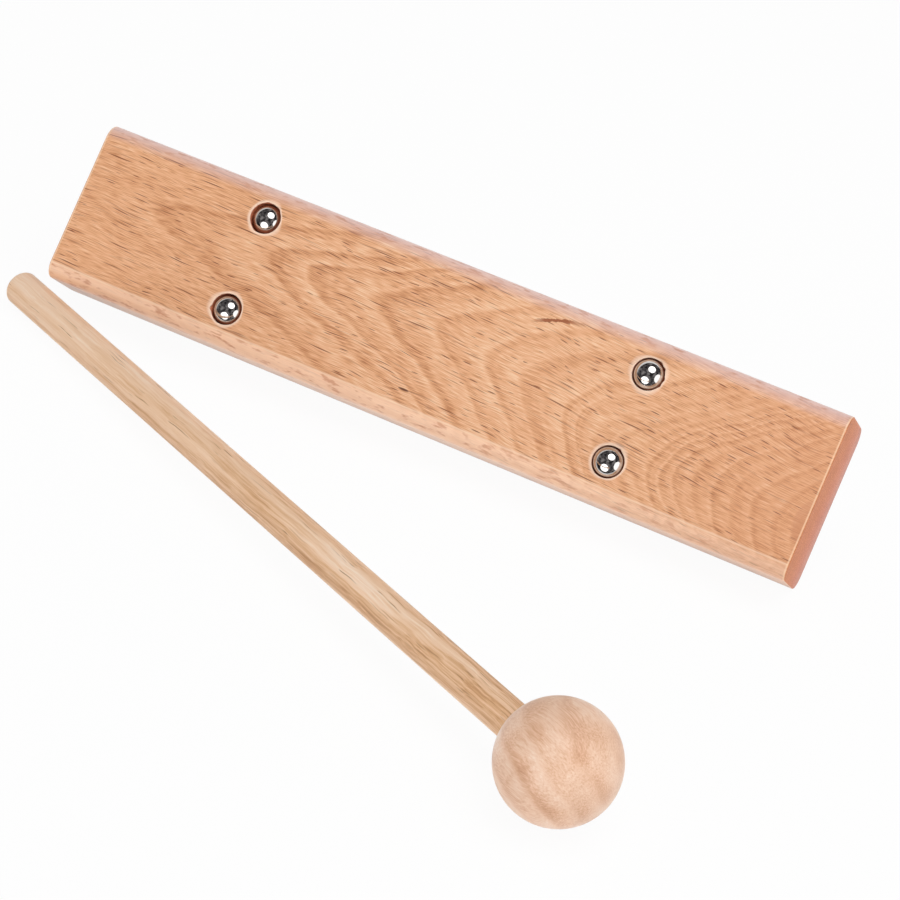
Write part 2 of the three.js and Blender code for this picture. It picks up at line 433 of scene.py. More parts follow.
def wood_space(node, origin, turn):
    """Places in a wooden piece's own frame, in millimetres."""
    coords = (node("TexCoord"), "Object")
    return node("Mapping", coords, origin.tolist(), turn, (MM, MM, MM), vector_type="TEXTURE")


def strayed(node, local, *wanders):
    """A space pushed about by smooth noises, each with its scale per millimetre, its detail and its reach."""
    space = local
    for scale, detail, reach in wanders:
        noise = node("TexNoise", local, named={"Scale": scale, "Detail": detail})
        shift = node("VectorMath SUBTRACT", (noise, "Color"), (0.5, 0.5, 0.5))
        space = node("VectorMath ADD", space, node("VectorMath MULTIPLY", shift, reach))
    return space


def fibres(node, space, along, across, detail, roughness=0.5):
    """A noise drawn out along the grain, by its scale per millimetre along and across it."""
    scaled = node("VectorMath MULTIPLY", space, (along, across, across))
    return node("TexNoise", scaled, named={"Scale": 1, "Detail": detail, "Roughness": roughness})


def painted(node, under, coats):
    """A colour under coats laid in order, each with its share and colour."""
    for share, colour in coats:
        colour = linear(colour) if isinstance(colour, str) else colour
        under = (node("Mix", named={0: share, 6: under, 7: colour}, data_type="RGBA"), 2)
    return under


# Where a new ring starts on the underside's middle line, in millimetres along the board, and how strongly
# it shows
RINGS = (
    (-200, 0.2), (-81.5, 1), (-49, 1.1), (-35, 0.7), (-18.4, 1.05), (0.4, 0.8), (14, 0.6), (24, 1.1),
    (38.5, 1), (43, 0.4), (49, 0.55), (54, 0.6), (58.5, 0.75), (62, 0.85), (65.5, 0.7), (69, 0.65),
    (73, 0.7), (78, 0.55), (83, 0.7), (88, 0.6), (200, 0.6),
)
RINGS_LEFT_OUT = 10

# Ray ends on the underside, in layers: a cell's length, width and depth in millimetres, the share of cells
# that stay empty at the board's left and right end, and the ray end's reach as a share of each side
RAY_LAYERS = (
    ((12, 0.9, 2.5), 0, 0.4, (0.37, 0.2, 0.6)),
    ((19, 1.9, 4), 0.3, 0.7, (0.37, 0.11, 0.5)),
    ((5, 0.8, 2), 0.7, 0.25, (0.34, 0.21, 0.6)),
)

# Marks of this very board, in millimetres: a knot's edge at the right end and a gum dash, each an ellipsoid
# with its place, reach, share and colour; and a bark streak that bows towards the upper edge
MARKS = (
    ((102.5, 6.6, 0), (4.6, 6.4, 9), 0.5, "#c98863"),
    ((-2.1, 13.6, 0), (1.5, 0.28, 0.6), 0.9, "#5d3220"),
)
STREAK_FROM, STREAK_TO, STREAK_LEVEL, STREAK_BOW = 20.5, 34, -17, 0.02


def ring_tones(node, local, fibre):
    """The growth rings' tone about zero, and the ring count. Rings nest in arches: the ring that reaches a
    point started at x less a hyperbola of the distance from the heart line."""
    # Slow wander over 30 mm and a slight one over 8 mm, so that no ring runs true; fibres fray its edge
    bent = strayed(node, local, (0.033, 1, (6, 3, 3)), (0.12, 1, (1.6, 1, 1)))
    spot = node("SeparateXYZ", bent)
    x = node("Math MULTIPLY_ADD", fibre, 2.6, (spot, 0))
    heart = node("MapRange", x, -10, 70, -5, 7.5, interpolation_type="SMOOTHSTEP")
    upper_slope = node("MapRange", x, -50, 30, 6, 1.85, interpolation_type="SMOOTHSTEP")
    upper_nose = node("MapRange", x, -20, 60, 3.5, 12, interpolation_type="SMOOTHSTEP")
    lower_slope = node("MapRange", x, -70, 48, 5.8, 1.2)
    off_heart = node("Math SUBTRACT", (spot, 1), heart)
    is_lower = node("Math GREATER_THAN", off_heart, 0)
    slope = node("Mix", is_lower, None, upper_slope, lower_slope, data_type="FLOAT")
    nose = node("Mix", is_lower, None, upper_nose, 9, data_type="FLOAT")
    nose_square = node("Math MULTIPLY", nose, nose)
    branch = chain(
        node, off_heart, ("Math MULTIPLY_ADD", off_heart, nose_square), ("Math SQRT",),
        ("Math SUBTRACT", nose), ("Math MULTIPLY", slope),
    )
    on_skin = node("Math SUBTRACT", x, branch)
    start = node("Math MULTIPLY_ADD", (spot, 2), 2.8, on_skin)
    # Ring count at that start, from where the rings begin on the board
    last = float(RINGS[-1][0])
    share = node("MapRange", start, -last, last, 0, 1)
    full_count = RINGS_LEFT_OUT + 2 * (len(RINGS) - 2)
    spots = [(begin + last) / (2 * last) for begin, _ in RINGS]
    counts = [(RINGS_LEFT_OUT + number) / full_count for number in range(len(RINGS) - 2)]
    count_share = node("FloatCurve", 1, share, curve=[(0, 0), *zip(spots[1:-1], counts), (1, 1)])
    count = node("Math MULTIPLY", count_share, float(full_count))
    through = node("Math FRACT", count)
    saw = node("ValToRGB", through, ramp=[
        (0, 0.5), (0.06, 0.3), (0.2, 0.3), (0.45, 0.46), (0.75, 0.6), (0.93, 0.7), (1, 0.5),
    ])
    strength = node("ValToRGB", share, ramp=[(where, ring[1]) for where, ring in zip(spots, RINGS)])
    strength.color_ramp.interpolation = "CONSTANT"
    side_share = node("MapRange", off_heart, -9, 0, 0.85, 1)
    steps = ("Math SUBTRACT", 0.48), ("Math MULTIPLY", strength), ("Math MULTIPLY", side_share)
    return chain(node, saw, *steps), count


def ray_ends(node, along, x):
    """Dark lens-shaped dashes, one in each cell that isn't empty, much narrower than its cell."""
    dashes = None
    for number, (cell, empty_left, empty_right, reaches) in enumerate(RAY_LAYERS):
        seed_shift = 37 * number
        moved = node("VectorMath ADD", along, (seed_shift,) * 3)
        space = node("VectorMath MULTIPLY", moved, tuple(1 / side for side in cell))
        cells = node("TexVoronoi", space, named={"Scale": 1, "Randomness": 1})
        inside = chain(
            node, space, ("VectorMath SUBTRACT", (cells, "Position")),
            ("VectorMath MULTIPLY", tuple(1 / part for part in reaches)), ("VectorMath LENGTH",),
        )
        pick = node("SeparateColor", (cells, "Color"))
        empty = node("MapRange", x, -60, 60, empty_left, empty_right)
        filled = node("Math GREATER_THAN", (pick, 0), empty)
        size = node("MapRange", (pick, 1), 0, 1, 0.5, 1)
        dark = node("MapRange", (pick, 2), 0, 1, 0.3, 1)
        mask = chain(
            node, (inside, "Value"), ("Math DIVIDE", size), ("MapRange", 0.5, 1, 1, 0),
            ("Math MULTIPLY", filled), ("Math MULTIPLY", dark),
        )
        dashes = node("Math MAXIMUM", dashes, mask) if dashes else mask
    return dashes


def own_marks(node, local, raw, fibre):
    """Coats for the board's own marks: the ellipsoids, and the streak along a parabola."""
    coats = []
    for middle, reach, most, colour in MARKS:
        steps = ("VectorMath SUBTRACT", middle), ("VectorMath DIVIDE", reach), ("VectorMath LENGTH",)
        far = chain(node, local, *steps)
        coats.append((node("MapRange", (far, "Value"), 0.85, 1, most, 0), colour))
    to_end = node("Math SUBTRACT", (raw, 0), STREAK_TO)
    bow = chain(node, to_end, ("Math MULTIPLY", to_end), ("Math MULTIPLY_ADD", STREAK_BOW, STREAK_LEVEL))
    width = node("MapRange", fibre, 0.35, 0.65, 0.18, 0.6)
    steps = ("Math SUBTRACT", bow), ("Math ABSOLUTE",), ("Math LESS_THAN", width)
    streak = chain(node, (raw, 1), *steps)
    started = node("MapRange", (raw, 0), STREAK_FROM, STREAK_FROM + 3, 0, 0.9)
    ended = node("MapRange", (raw, 0), STREAK_TO - 5, STREAK_TO, 1, 0)
    on_under = node("Math LESS_THAN", (raw, 2), 1)
    for part in (started, ended, on_under):
        streak = node("Math MULTIPLY", streak, part)
    return coats + [(streak, "#96502c")]


def hole_coats(node, local, raw, holes):
    """Coats round the holes: a pale ragged ring round each rim, and painted shade that browns and darkens the
    wall inside.
    """
    flat = node("VectorMath MULTIPLY", local, (1, 1, 0))
    near = None
    for hole in holes:
        gap = node("VectorMath DISTANCE", flat, (hole["x"] / MM, hole["y"] / MM, 0))
        near = node("Math MINIMUM", near, (gap, "Value")) if near else (gap, "Value")
    rim = BALL_HOLE / 2 / MM
    ragged = node("TexNoise", local, named={"Scale": 0.12, "Detail": 1})
    halo_end = node("MapRange", ragged, 0.4, 0.65, rim + 0.45, rim + 1.5)
    halo = node("MapRange", near, rim + 0.28, halo_end, 0.85, 0)
    is_near = node("Math LESS_THAN", near, rim + 1)
    # Painted shade: the wall inside each hole turns browner and darker with depth
    is_deep = node("MapRange", (raw, 2), 0.12, 0.5, 0, 0.9)
    off_far_face = node("Math LESS_THAN", (raw, 2), BASE_THICKNESS / MM - 0.2)
    is_wall = node("Math MULTIPLY", is_deep, off_far_face)
    painted_hole_shade = node("Math MULTIPLY", is_near, is_wall)
    return [(halo, "#fbdcc4"), (painted_hole_shade, "#c9683f")]


def make_beech(holes):
    """Flat-sawn beech, sanded and satin sealed: nested arches of growth rings, short dark ray ends along the
    grain, fine fibre streaks. The eye sees warm orange-tan with redder late wood and a soft sheen."""
    material, node = new_material("flat_sawn_beech")
    local = wood_space(node, UNDERSIDE, (BASE_TURN, 0, 0))
    # Grain lines tilt down to the right, more so on the right half, and weave a little
    raw = node("SeparateXYZ", local)
    steps = ("Math MULTIPLY_ADD", (raw, 0), 900), ("Math SQRT",), ("Math MULTIPLY_ADD", -0.035, (raw, 1))
    tilted = node("Math MULTIPLY_ADD", (raw, 0), -0.05, chain(node, (raw, 0), *steps))
    bend = node("TexNoise", local, named={"Scale": 0.05, "Detail": 1})
    weave = node("Math MULTIPLY_ADD", bend, 2.4, tilted)
    along = node("CombineXYZ", (raw, 0), weave, (raw, 2))
    # Fibres: streaks 8 mm long and 0.4 mm wide, with finer ones of 4 by 0.2 mm, a broad mottle, and fainter
    # stripes that run with the rings
    fibre = fibres(node, along, 0.12, 2.4, 2, 0.6)
    hair = fibres(node, along, 0.25, 4.8, 1)
    mottle = fibres(node, along, 0.03, 0.16, 2)
    tones, count = ring_tones(node, local, fibre)
    stripe = node("TexNoise", named={"W": count, "Scale": 4, "Detail": 2}, noise_dimensions="1D")
    for layer, low, high, reach in (
        (stripe, 0.3, 0.7, 0.06), (fibre, 0.25, 0.75, 0.16), (hair, 0.3, 0.7, 0.33), (mottle, 0.3, 0.7, 0.08),
    ):
        part = node("MapRange", layer, low, high, -reach, reach)
        tones = node("Math ADD", tones, part)
    # The board is paler past its middle
    down = node("MapRange", (raw, 0), -101, 101)
    length_tone = node("ValToRGB", down, ramp=[
        (0, 0.46), (0.3, 0.49), (0.36, 0.53), (0.5, 0.54), (0.6, 0.63), (0.7, 0.55), (0.9, 0.47), (1, 0.44),
    ])
    tone = node("Math ADD", tones, length_tone)
    wood = node("ValToRGB", tone, ramp=[
        (0, "#b9794f"), (0.25, "#d1966a"), (0.5, "#e2a87e"), (0.75, "#ebb890"), (1, "#f3caa6"),
    ])
    # The wood reddens towards its right end
    dashes = ray_ends(node, along, (raw, 0))
    redder = node("MapRange", (raw, 0), 60, 100, 0, 0.25)
    # The narrow sides are cut across the rays: paler and pinker, with reddish flecks of 4 by 1 mm. The lower
    # one is less so towards the right end. Their roundovers by the underside carry painted sheen, lilac on
    # the upper one and pale on the lower, and a painted highlight line shows where the lower roundover starts
    across = node("MapRange", (raw, 1), -21, 21)
    side_share = node("ValToRGB", across, ramp=[
        (0, 0.78), (0.02, 0.7), (0.05, 0.42), (0.095, 0), (0.9, 0), (0.921, 0.64), (0.95, 0.78), (1, 0.7),
    ])
    is_low_side = node("Math GREATER_THAN", (raw, 1), 0)
    rightwards = node("MapRange", (raw, 0), 10, 90, 0, 0.45)
    lost = node("Math MULTIPLY", is_low_side, rightwards)
    kept = node("Math SUBTRACT", 1, lost)
    on_side = node("Math MULTIPLY", side_share, kept)
    # Painted sheen on the underside's roundovers: lilac on the upper one, pale on the lower
    painted_sheen_tint = node("ValToRGB", across, ramp=[(0.3, "#f1cfcb"), (0.7, "#ffd5b5")])
    up_side = node("MapRange", (raw, 2), 2.5, 6, 0, 1)
    sheen_and_side_tint = painted(node, painted_sheen_tint, [(up_side, "#eec3a0")])
    fleck = fibres(node, along, 0.24, 0.8, 2, 0.6)
    fleck_share = chain(node, fleck, ("MapRange", 0.54, 0.66, 0, 0.9), ("Math MULTIPLY", on_side))
    # A painted highlight line where the lower roundover starts
    painted_highlight_line = node("ValToRGB", across, ramp=[(0.909, 0), (0.912, 0.5), (0.917, 0.5), (0.92, 0)])
    # End grain drinks the sealer: it turns deeper and redder. A painted sheen makes it pinker away from the
    # underside, and a painted highlight line runs along its edge
    end_way = node("Math ABSOLUTE", (raw, 0))
    half = BASE_LENGTH / 2 / MM
    on_end = node("MapRange", end_way, half - 0.3, half - 0.1, 0, 0.92)
    end_rings = node("ValToRGB", tone, ramp=[(0.3, "#964a22"), (0.5, "#d87038"), (0.7, "#fab488")])
    up_end = node("Math MULTIPLY", (raw, 2), MM / BASE_THICKNESS)
    painted_end_sheen = node("ValToRGB", up_end, ramp=[
        (0, "#cf7434"), (0.35, "#d97c44"), (0.7, "#db8468"), (1, "#d9a39d"),
    ])
    end_grain_and_sheen = painted(node, end_rings, [(0.7, painted_end_sheen)])
    # A painted highlight line along the end's edge
    steps = ("Math SUBTRACT", half - 0.35), ("Math ABSOLUTE",), ("MapRange", 0.1, 0.3, 0.6, 0)
    painted_end_highlight = chain(node, end_way, *steps)
    skin = painted(node, wood, [
        (dashes, "#7c3d1f"), (redder, "#cf875f"), (on_side, sheen_and_side_tint), (fleck_share, "#c9825c"),
        (painted_highlight_line, "#ffe2c6"), *own_marks(node, local, raw, fibre), *hole_coats(node, local, raw, holes),
        (on_end, end_grain_and_sheen), (painted_end_highlight, "#ffd9b4"),
    ])
    # The sealer lies a little duller on late wood, and the end grain is duller still
    gloss = node("MapRange", tone, 0, 1, 0.44, 0.34)
    end_gloss = node("Math MULTIPLY_ADD", on_end, 0.5, gloss)
    pits = node("Math MULTIPLY_ADD", dashes, -0.4, fibre)
    bump = node("Bump", named={"Strength": 0.35, "Distance": 0.08 * MM, "Height": pits})
    sealer = {"Roughness": end_gloss, "IOR": 1.5, "Normal": bump, "Coat Weight": 0.25, "Coat Roughness": 0.28}
    node("OutputMaterial", node("BsdfPrincipled", skin, named=sealer))
    return material


def make_dowel_wood():
    """Machined dowel, bare and sanded: straw-coloured with long pores and brown streaks along its length."""
    material, node = new_material("dowel_straw_wood")
    local = wood_space(node, MALLET_TIP, MALLET_TURN)
    bent = strayed(node, local, (0.09, 2, (2, 1.6, 1.6)))
    streak = fibres(node, bent, 0.012, 0.42, 3, 0.55)
    fibre = fibres(node, bent, 0.05, 2.4, 3, 0.65)
    streak_tone = node("MapRange", streak, 0.3, 0.7, -0.36, 0.36)
    fibre_tone = node("MapRange", fibre, 0.25, 0.75, -0.22, 0.22)
    # Faint and pale at the tip, stronger and browner towards the ball; painted shade browns the near side
    spot = node("SeparateXYZ", local)
    strength = node("MapRange", (spot, 0), 0, 210, 0.8, 1.6)
    from_tip = node("MapRange", (spot, 0), 0, 210, 0.82, 0.46)
    painted_near_shade = node("MapRange", (spot, 1), -4.3, -1.8, -0.28, 0)
    steps = ("Math ADD", fibre_tone), ("Math MULTIPLY_ADD", strength, from_tip), ("Math ADD", painted_near_shade)
    tone = chain(node, streak_tone, *steps)
    wood = node("ValToRGB", tone, ramp=[
        (0, "#bd895a"), (0.25, "#d8a97e"), (0.5, "#eac19c"), (0.75, "#f3d0b1"), (1, "#f9dfc8"),
    ])
    # Pores: one lens in each filled cell, 16 mm long and 0.42 mm wide
    space = node("VectorMath MULTIPLY", bent, (1 / 16, 1 / 0.42, 1 / 0.42))
    cells = node("TexVoronoi", space, named={"Scale": 1, "Randomness": 1})
    pick = node("SeparateColor", (cells, "Color"))
    filled = node("MapRange", (pick, 0), 0.72, 0.78, 0, 1)
    dark = node("MapRange", (pick, 1), 0, 1, 0.2, 0.85)
    steps = ("MapRange", 0.2, 0.4, 1, 0), ("Math MULTIPLY", filled), ("Math MULTIPLY", dark)
    pores = chain(node, (cells, "Distance"), *steps)
    pits = node("Math MULTIPLY_ADD", pores, -1, fibre)
    bump = node("Bump", named={"Strength": 0.4, "Distance": 0.08 * MM, "Height": pits})
    bare = {"Roughness": 0.55, "IOR": 1.5, "Normal": bump, "Sheen Weight": 0.3, "Sheen Roughness": 0.4}
    node("OutputMaterial", node("BsdfPrincipled", painted(node, wood, [(pores, "#9b6d42")]), named=bare))
    return material


def make_turned_wood():
    """Turned ball, bare and sanded: pale pinkish wood whose rings show as broad curved stripes on its sides
    and as fine speckle where the end grain comes out."""
    material, node = new_material("turned_ball_wood")
    local = wood_space(node, MALLET_TIP, MALLET_TURN)
    bent = strayed(node, local, (0.12, 2, (3, 3, 3)))
    spot = node("SeparateXYZ", bent)
    # Rings lie round a heart 24 mm off the ball's middle, lean along the grain and bow down away from the
    # dowel
    side = node("Math ADD", (spot, 1), 20)
    height = node("Math ADD", (spot, 2), 14)
    side_square = node("Math MULTIPLY", side, side)
    radius = chain(node, height, ("Math MULTIPLY_ADD", height, side_square), ("Math SQRT",))
    past = node("Math SUBTRACT", (spot, 0), HEAD_PLACE / MM)
    bow = node("Math MULTIPLY_ADD", past, 0.016, 0.42)
    leaning = node("Math MULTIPLY_ADD", past, bow, radius)
    fibre = fibres(node, bent, 0.16, 2.8, 3, 0.65)
    count = chain(node, fibre, ("Math MULTIPLY_ADD", 1.8, leaning), ("Math MULTIPLY", 1 / 6.8))
    through = node("Math FRACT", count)
    ring = node("ValToRGB", through, ramp=[
        (0, 0.5), (0.14, 0.3), (0.3, 0.4), (0.55, 0.54), (0.85, 0.64), (1, 0.5),
    ])
    whole = node("Math FLOOR", count)
    own = node("TexWhiteNoise", named={"W": whole}, noise_dimensions="1D")
    strength = node("MapRange", (own, "Value"), 0, 1, 0.4, 1)
    cloud = node("TexNoise", local, named={"Scale": 0.11, "Detail": 2})
    cloud_tone = node("MapRange", cloud, 0.3, 0.7, -0.18, 0.18)
    fibre_tone = node("MapRange", fibre, 0.25, 0.75, -0.25, 0.25)
    tone = chain(
        node, ring, ("Math SUBTRACT", 0.5), ("Math MULTIPLY_ADD", strength, 0.48),
        ("Math ADD", cloud_tone), ("Math ADD", fibre_tone),
    )
    wood = node("ValToRGB", tone, ramp=[
        (0, "#c68f6c"), (0.3, "#dbab8a"), (0.52, "#eac1a4"), (0.75, "#f2d2bb"), (1, "#fae4d6"),
    ])
    bump = node("Bump", named={"Strength": 0.3, "Distance": 0.06 * MM, "Height": fibre})
    bare = {"Roughness": 0.5, "IOR": 1.5, "Normal": bump, "Sheen Weight": 0.4, "Sheen Roughness": 0.4}
    node("OutputMaterial", node("BsdfPrincipled", wood, named=bare))
    return material


def make_steel():
    """Chromed bearing steel, mirror polished: a bright grey metal with a trace of handling haze."""
    material, node = new_material("polished_bearing_steel")
    coords = node("TexCoord")
    haze = node("TexNoise", (coords, "Object"), named={"Scale": 900, "Detail": 2})
    rough = node("MapRange", haze, 0.3, 0.7, 0.07, 0.13)
    mirror = {"Metallic": 1, "Roughness": rough}
    node("OutputMaterial", node("BsdfPrincipled", linear("#cfccc9"), named=mirror))
    return material


def make_aluminium():
    """Aluminium bar, fine turned and polished: pale silver with turning lines round it, 0.3 mm apart so that
    they show, where the real ones are finer."""
    material, node = new_material("fine_turned_aluminium")
    coords = node("TexCoord")
    spot = node("SeparateXYZ", (coords, "Object"))
    scales = {"W": (spot, 0), "Scale": 3300, "Detail": 3}
    lines = node("TexNoise", named=scales, noise_dimensions="1D")
    tint = node("ValToRGB", lines, ramp=[(0.3, "#cdd0d2"), (0.7, "#d9dbdd")])
    rough = node("MapRange", lines, 0.3, 0.7, 0.18, 0.24)
    bump = node("Bump", named={"Strength": 0.15, "Distance": 0.01 * MM, "Height": lines})
    metal = {"Metallic": 1, "Roughness": rough, "Normal": bump}
    node("OutputMaterial", node("BsdfPrincipled", tint, named=metal))
    return material


def make_dark_soft(name, scale, detail, tints, strength, height, finish):
    """A dark matt material with a fine grain: the grain's scale per metre and detail, its darkest and palest
    colour, and the bump's strength and height."""
    material, node = new_material(name)
    coords = node("TexCoord")
    grain = node("TexNoise", (coords, "Object"), named={"Scale": scale, "Detail": detail})
    tint = node("ValToRGB", grain, ramp=[(0.3, tints[0]), (0.7, tints[1])])
    bump = node("Bump", named={"Strength": strength, "Distance": height, "Height": grain})
    node("OutputMaterial", node("BsdfPrincipled", tint, named={"Normal": bump, **finish}))
    return material


# Pieces


def find_holes():
    """The four stepped holes in the base's frame, each on the axis of its steel ball."""
    holes = []
    for number in range(1, 5):
        low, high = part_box(f"lock_ball_{number}")
        centre = to_base_frame((np.array(low) + np.array(high)) / 2)
        cord_end = centre[2] + BALL_DIAMETER / 2 + BALL_CLEARANCE
        holes.append({"x": centre[0], "y": centre[1], "ball": centre, "cord_end": cord_end})
    return holes


def make_base(holes, material):
    """The base board. Its skin follows the board section, and each hole is a wide bore with a step to the
    cord's bore. Each chip widens the rim by its reach times a triangle of the angle, and fades with depth."""
    section, normals = board_section(BASE_WIDTH, BASE_THICKNESS, BASE_ROUNDOVER, SKIN_STEP)
    half = BASE_LENGTH / 2
    coarse = np.arange(-half + END_GAP, half - END_GAP, 2 * SKIN_STEP)
    fine = [np.arange(-HOLE_WINDOW, HOLE_WINDOW + 0.1 * MM, SKIN_STEP) + hole["x"] for hole in holes[::2]]
    clear = [np.abs(coarse - hole["x"]) > HOLE_WINDOW + END_GAP for hole in holes[::2]]
    stations = np.sort(np.concatenate([coarse[clear[0] & clear[1]], *fine, [half - END_GAP]]))
    for number, hole in enumerate(holes):
        step = hole["cord_end"] + CORD_DIAMETER / 2

        def profile(turn, step=step, chips=RIM_CHIPS[number]):
            chip = 0
            for angle, reach, spread in chips:
                miss = np.abs((np.degrees(turn) - angle + 180) % 360 - 180)
                chip = chip + reach * np.clip(1 - miss / spread, 0, 1)
            wide, narrow = BALL_HOLE / 2, CORD_HOLE / 2
            return [
                (0, wide + RIM_BREAK + chip, 0),
                (0, wide + RIM_BREAK * 0.3 + chip * 0.95, RIM_BREAK * 0.35),
                (0, wide + chip * 0.85, RIM_BREAK),
                (0, wide + chip * 0.5, CHIP_DEPTH),
                (0, wide, CHIP_DEPTH + RIM_BREAK),
                (0, wide, step / 2),
                (0, wide, step - STEP_BREAK),
                (0, wide - STEP_BREAK, step),
                (0, narrow + STEP_BREAK, step),
                (0, narrow, step + STEP_BREAK),
                (1, narrow, 3 * RIM_BREAK),
                (1, narrow, RIM_BREAK),
                (1, narrow + RIM_BREAK, 0),
            ]

        hole["profile"] = profile

    def depth(y):
        past = np.clip(np.abs(y) - FLAT_HALF, 0, BASE_ROUNDOVER)
        return BASE_ROUNDOVER - np.sqrt(BASE_ROUNDOVER ** 2 - past ** 2)

    skins = (depth, lambda y: BASE_THICKNESS - depth(y))
    centre = np.array((0, BASE_THICKNESS / 2))
    sheets = bar(section, normals, stations, half, BASE_ARRIS, centre, holes, skins)
    make_piece("beech_base", put(sheets, UNDERSIDE, BASE_AXES), material, "base", "beech", "base_block")


def make_rod(holes, material):
    """The rod, in a frame turned so that its bores run along Z: a circle along X, with a chamfer at the
    ends."""
    radius = ROD_DIAMETER / 2
    turn = np.radians(np.arange(-178.5, 180, 3))
    normals = np.stack([np.cos(turn), np.sin(turn)], axis=-1)
    half = ROD_LENGTH / 2
    stations = np.linspace(-half + ROD_END_GAP, half - ROD_END_GAP, ROD_ROWS)

    def profile(turn):
        bore = ROD_BORE / 2
        side = [(bore + ROD_BORE_BREAK, 0), (bore + ROD_BORE_NICK, ROD_BORE_NICK), (bore, ROD_BORE_BREAK),
                (bore, radius / 2)]
        return [(0, *row) for row in side] + [(1, *row) for row in side[::-1]]

    bores = [{"x": node_place(pair), "y": 0, "profile": profile} for pair in (holes[:2], holes[2:])]
    skins = (lambda y: -np.sqrt(radius ** 2 - y ** 2), lambda y: np.sqrt(radius ** 2 - y ** 2))
    centre = np.zeros(2)
    sheets = bar(radius * normals, normals, stations, half, ROD_CHAMFER, centre, bores, skins, ROD_WINDOW)
    axes = np.array([BASE_AXES[0], -BASE_AXES[2], BASE_AXES[1]])
    origin = place(np.array((0, 0, ROD_HEIGHT)), UNDERSIDE, BASE_AXES)
    make_piece("aluminium_rod", put(sheets, origin, axes), material, "rod", "aluminium", "chime_rod")


def node_place(pair):
    """Where along the base a rod node lies: the middle of its saddle."""
    side = "left" if pair[0]["x"] < 0 else "right"
    low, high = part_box(f"saddle_{side}")
    return (low[0] + high[0]) / 2 - UNDERSIDE[0]


def make_saddle(side, x, material):
    """A rubber saddle: a block with softened corners whose top is a trough round the rod."""
    trough = ROD_DIAMETER / 2 + SADDLE_CLEARANCE
    axis = ROD_HEIGHT - BASE_THICKNESS
    height = ROD_STANDOFF + SADDLE_LIP
    edge = math.acos((axis - height) / trough)
    half = trough * math.sin(edge) + SADDLE_SHOULDER
    turn = np.linspace(edge, -edge, 19)
    dip = np.stack([trough * np.sin(turn), axis - trough * np.cos(turn)], axis=-1)
    corners = np.concatenate([[(-half, 0), (half, 0), (half, height)], dip, [(-half, height)]])
    section, normals = softened_section(corners, SADDLE_ROUND, 4)
    reach = SADDLE_ALONG / 2
    stations = np.linspace(-reach + SADDLE_ROUND, reach - SADDLE_ROUND, 10)
    centre = np.array((0, ROD_STANDOFF / 2))
    sheets = bar(section, normals, stations, reach, SADDLE_ROUND, centre)
    origin = place(np.array((x, 0, BASE_THICKNESS)), UNDERSIDE, BASE_AXES)
    name = f"rubber_saddle_{side}"
    make_piece(name, put(sheets, origin, BASE_AXES), material, "base", "rubber", f"saddle_{side}")


def cord_route(pair, x):
    """The cord's centre line in the base's frame: straight up a hole, a bend at the rod's bore, through it
    and down the other hole, as lines joined by parabolas."""
    turn_out = ROD_DIAMETER / 2 + CORD_STANDOFF
    share = np.linspace(0, 1, 25)[:, None]
    halves = []
    for hole in pair:
        away = math.copysign(1, hole["y"])
        end = np.array((hole["x"], hole["y"], hole["cord_end"]))
        mouth = np.array((hole["x"], hole["y"], BASE_THICKNESS))
        shoulder = np.array((x, away * turn_out, ROD_HEIGHT))
        in_rod = np.array((x, away * (turn_out - CORD_BEND), ROD_HEIGHT))
        bend_start = shoulder + (mouth - shoulder) * CORD_BEND / np.linalg.norm(mouth - shoulder)
        up_hole = end + share * (mouth - end)
        to_bend = mouth + share[1:] * (bend_start - mouth)
        halves.append(np.concatenate([up_hole, to_bend, parabola(bend_start, shoulder, in_rod, share)[1:]]))
    return np.concatenate([halves[0], halves[1][::-1]])


def make_cord(side, pair, x, material):
    """A braided cord: a circle along the route whose radius swells where threads of two opposite spirals
    cross."""
    route = cord_route(pair, x)
    gaps = np.linalg.norm(np.diff(route, axis=0), axis=1)
    far = np.concatenate([[0], np.cumsum(gaps)])
    steps = np.arange(0, far[-1], CORD_STEP)
    centre = np.stack([np.interp(steps, far, route[:, axis]) for axis in range(3)], axis=-1)
    smooth = np.ones(2 * CORD_SMOOTHING + 1) / (2 * CORD_SMOOTHING + 1)
    run = np.gradient(centre, axis=0)
    padded = np.pad(run, ((CORD_SMOOTHING, CORD_SMOOTHING), (0, 0)), mode="edge")
    run = np.stack([np.convolve(padded[:, axis], smooth, mode="valid") for axis in range(3)], axis=-1)
    run /= np.linalg.norm(run, axis=1, keepdims=True)
    across = np.array((1.0, 0, 0)) - run * run[:, :1]
    across /= np.linalg.norm(across, axis=1, keepdims=True)
    other = np.cross(run, across)
    turn = np.linspace(0, 2 * np.pi, CORD_SIDES, endpoint=False)
    thread = BRAID_THREADS * turn[None]
    spiral = BRAID_THREADS / 2 * (steps[:, None] * 2 * np.pi / BRAID_PITCH)
    braid = np.cos(thread + spiral) * np.cos(thread - spiral)
    radius = CORD_DIAMETER / 2 * (1 - BRAID_SWELL + BRAID_SWELL * braid)
    turned_out = np.cos(turn)[None, :, None] * across[:, None] + np.sin(turn)[None, :, None] * other[:, None]
    skin = centre[:, None] + radius[..., None] * turned_out
    ends = [np.repeat(centre[spot][None, None], CORD_SIDES, axis=1) for spot in (0, -1)]
    sheets = put([grid(np.concatenate([ends[0], skin, ends[1]]), wrap=True)], UNDERSIDE, BASE_AXES)
    cord = make_piece(f"braided_cord_{side}", sheets, material, None, "elastic_cord", f"cord_{side}")
    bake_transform(cord)


def make_ball(number, centre, material):
    """A steel ball: a half circle turned about X."""
    turn = np.radians(np.linspace(0, 180, BALL_SIDES // 2 + 1))
    profile = BALL_DIAMETER / 2 * np.stack([-np.cos(turn), np.sin(turn)], axis=-1)
    origin = place(centre, UNDERSIDE, BASE_AXES)
    sheets = put(turned(profile, BALL_SIDES), origin, BASE_AXES)
    make_piece(f"steel_ball_{number}", sheets, material, "base", "polished_steel", f"lock_ball_{number}")


